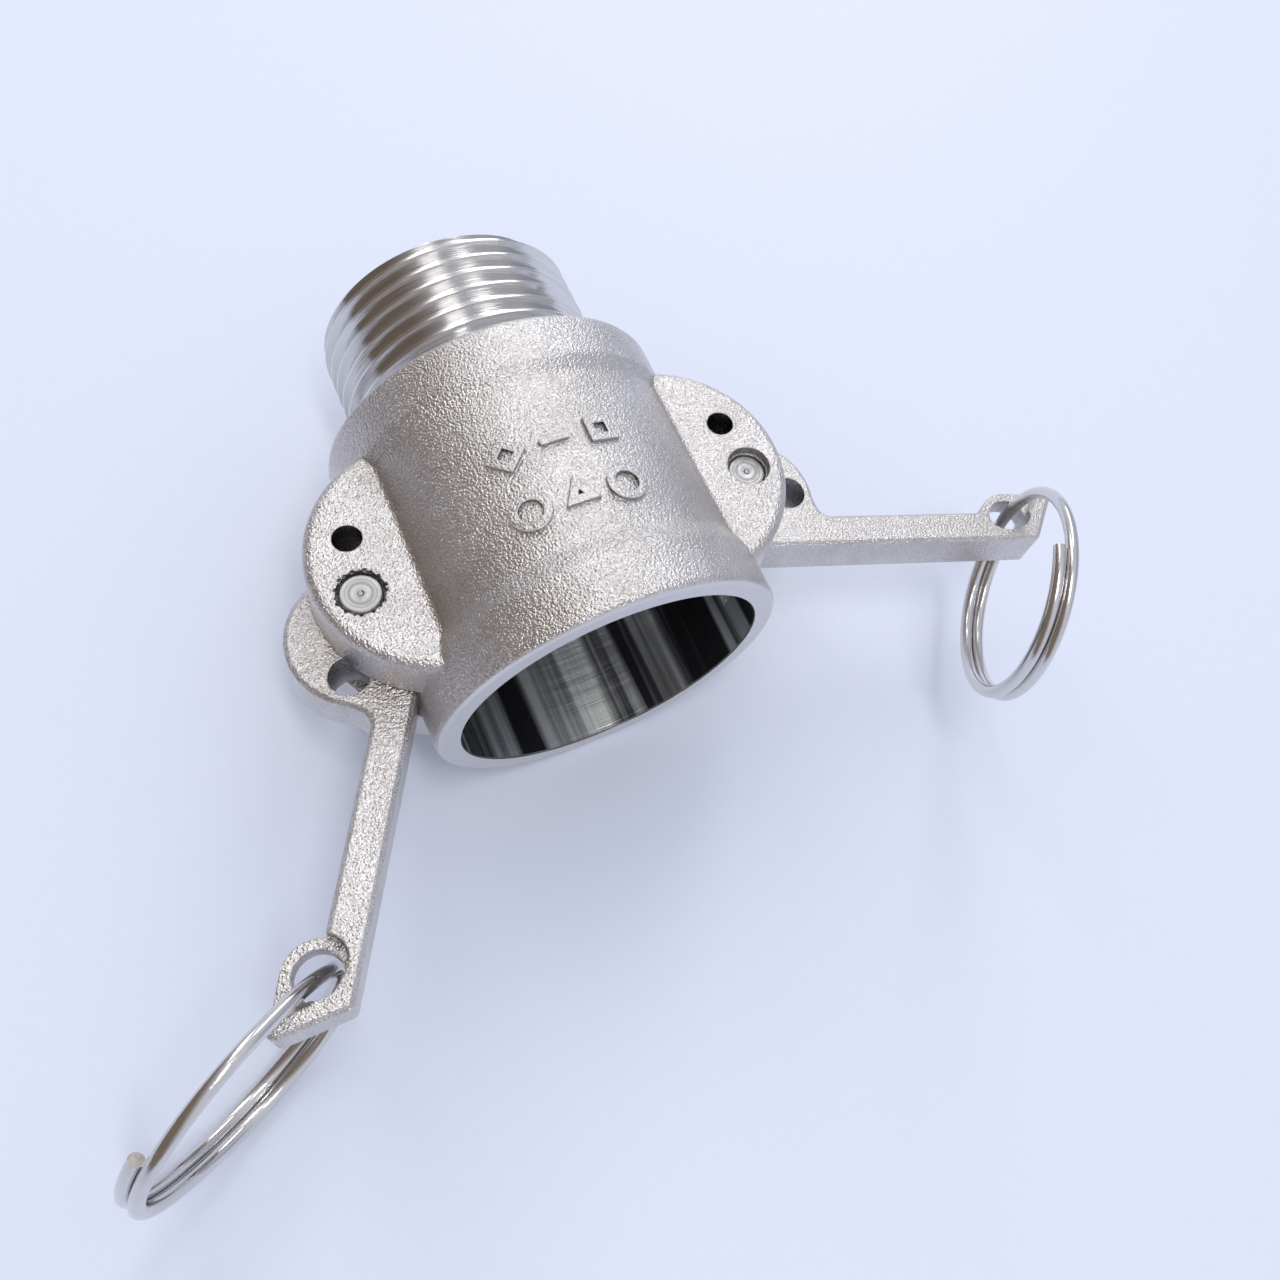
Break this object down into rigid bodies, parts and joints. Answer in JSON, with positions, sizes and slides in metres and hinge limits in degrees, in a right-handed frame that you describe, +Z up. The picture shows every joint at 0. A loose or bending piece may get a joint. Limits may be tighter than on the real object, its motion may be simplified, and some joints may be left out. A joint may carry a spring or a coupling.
{
  "type": "camlock coupler",
  "caption": "Cast stainless cam and groove coupler: a gasketed socket with swinging cam arms, split pull rings and a male pipe thread.",
  "frame": {"origin": "centre of the socket mouth", "axes": "+Y along the flow axis from the socket mouth to the pipe thread, +Z up through the upper ears, +X towards the right arm; the arms swing in the XY plane"},
  "size_m": [0.1277, 0.0868, 0.0428],
  "materials": {
    "casting": "satin investment casting, bright where machined",
    "arm_casting": "satin investment casting",
    "pin_steel": "turned",
    "ring_wire": "polished wire",
    "rubber": "matte nitrile rubber"
  },
  "bodies": {
    "body": {"body": "casting", "gasket": "rubber", "left_pivot_pin": "pin_steel", "right_pivot_pin": "pin_steel"},
    "left_arm": {"left_cam_arm": "arm_casting"},
    "right_arm": {"right_cam_arm": "arm_casting"},
    "left_ring": {"left_pull_ring": "ring_wire"},
    "right_ring": {"right_pull_ring": "ring_wire"}
  },
  "joints": [
    {"name": "left_arm_swing", "type": "hinge", "parent": "body", "child": "left_arm", "pos_m": [-0.0238, 0.01595, 0], "axis": [0, 0, -1], "range_deg": [-1, 152.7]},
    {"name": "right_arm_swing", "type": "hinge", "parent": "body", "child": "right_arm", "pos_m": [0.0238, 0.01595, 0], "axis": [0, 0, 1], "range_deg": [-42, 111.3]},
    {"name": "left_ring_tilt", "type": "hinge", "parent": "left_arm", "child": "left_ring", "pos_m": [-0.03992, -0.01803, 0], "axis": [-0.4695, 0.8829, 0], "range_deg": [0, 42]},
    {"name": "right_ring_swing", "type": "hinge", "parent": "right_arm", "child": "right_ring", "pos_m": [0.05837, 0.00112, 0], "axis": [0, 0, -1], "range_deg": [-155, 45]}
  ]
}
